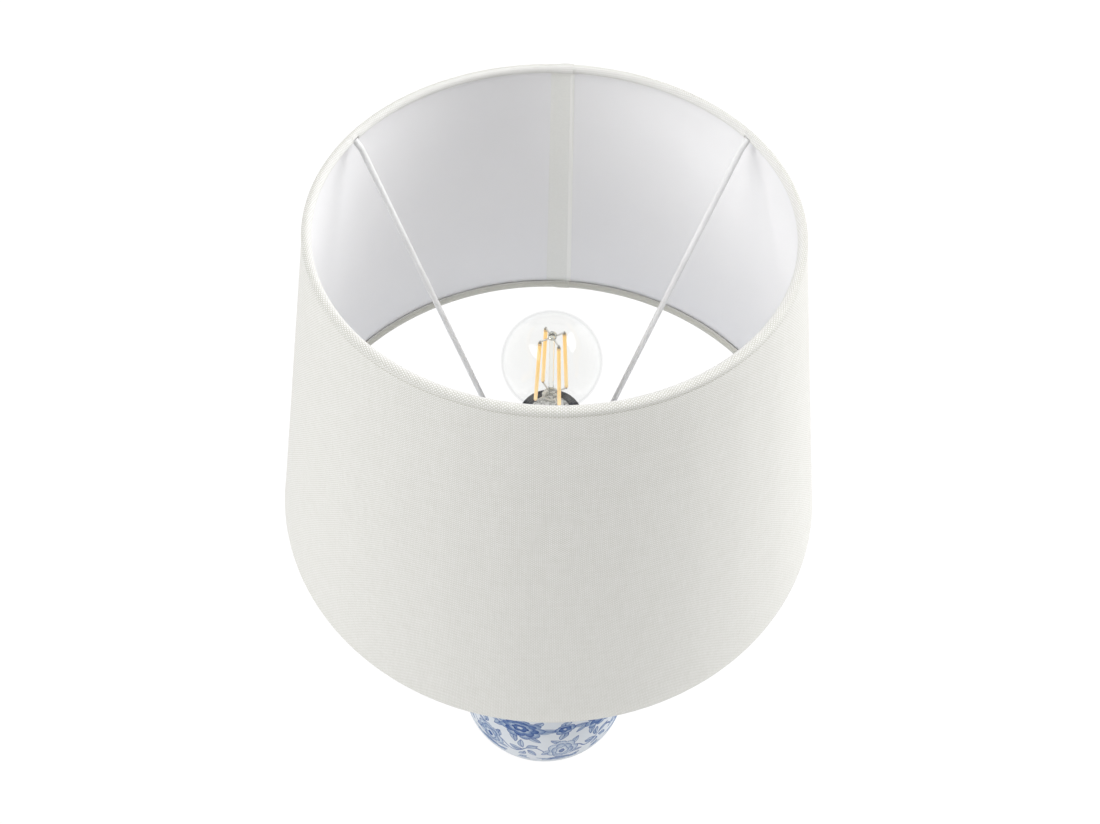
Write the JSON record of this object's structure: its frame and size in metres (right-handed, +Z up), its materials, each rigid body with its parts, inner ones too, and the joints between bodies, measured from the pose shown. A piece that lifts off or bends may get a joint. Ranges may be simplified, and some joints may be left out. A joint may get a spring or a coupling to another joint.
{
  "type": "ginger jar table lamp",
  "caption": "Table lamp: glazed blue and white ginger jar base, metal neck, screw lampholder with clear filament bulb and tapered fabric drum shade on wire arms.",
  "frame": {"origin": "centre of the felt pad's underside, on the surface that the lamp stands on", "axes": "+Z up along the jar, rod, lampholder and shade axis; +Y towards the cable outlet at the back; +X to the right seen from the front"},
  "size_m": [0.3486, 0.3486, 0.585],
  "materials": {
    "felt": "matt green-black felt",
    "glazed_jar": "glossy white glaze with painted blue foliage",
    "rubber": "matt",
    "zinc_steel": "bright zinc",
    "satin_nickel": "satin nickel",
    "black_plastic": "moulded, semi-matt",
    "white_ceramic": "unglazed",
    "brass": "plain",
    "white_wire": "white powder coat",
    "shade_fabric": "fine weave, off-white",
    "shade_liner": "smooth white laminate",
    "seam_tape": "white tape",
    "clear_glass": "clear",
    "cap_metal": "nickel plated",
    "cap_glass": "black glass",
    "lead_metal": "bright wire",
    "filament": "yellow phosphor coat"
  },
  "bodies": {
    "base": {"base_pad": "felt", "jar_body": "glazed_jar", "cable_grommet": "rubber", "threaded_rod": "zinc_steel", "base_gasket": "rubber", "base_washer": "zinc_steel", "base_nut": "zinc_steel", "neck_gasket": "rubber", "neck_cap": "satin_nickel", "lower_collar": "satin_nickel", "neck_tube": "satin_nickel", "upper_collar": "satin_nickel", "holder_cap": "black_plastic", "holder_grub_screw": "zinc_steel", "contact_block": "white_ceramic", "terminal_screw_1": "brass", "terminal_screw_2": "brass", "centre_contact": "brass", "side_contact": "brass", "holder_shell": "black_plastic", "screw_sleeve": "zinc_steel"},
    "shade": {"fitter_ring": "white_wire", "shade_arm_1": "white_wire", "shade_arm_2": "white_wire", "shade_arm_3": "white_wire", "shade_top_ring": "white_wire", "shade_bottom_ring": "white_wire", "shade_fabric": "shade_fabric", "shade_liner": "shade_liner", "shade_seam_tape": "seam_tape"},
    "ring_nut": {"shade_ring_nut": "black_plastic"},
    "bulb": {"bulb_glass": "clear_glass", "bulb_cap": "cap_metal", "bulb_insulator": "cap_glass", "bulb_tip_contact": "cap_metal", "bulb_stem": "clear_glass", "filament_1": "filament", "filament_2": "filament", "filament_3": "filament", "filament_4": "filament", "upper_leads": "lead_metal", "lower_leads": "lead_metal"}
  },
  "joints": [
    {"name": "shade_swivel", "type": "hinge", "parent": "base", "child": "shade", "pos_m": [0, 0, 0.388], "axis": [0, 0, 1], "continuous": true},
    {"name": "ring_nut_travel", "type": "slide", "parent": "base", "child": "ring_nut", "axis": [0, 0, 1], "range_m": [0, 0.022]},
    {"name": "bulb_out", "type": "slide", "parent": "base", "child": "bulb", "axis": [0, 0, 1], "range_m": [0, 0.12]}
  ]
}
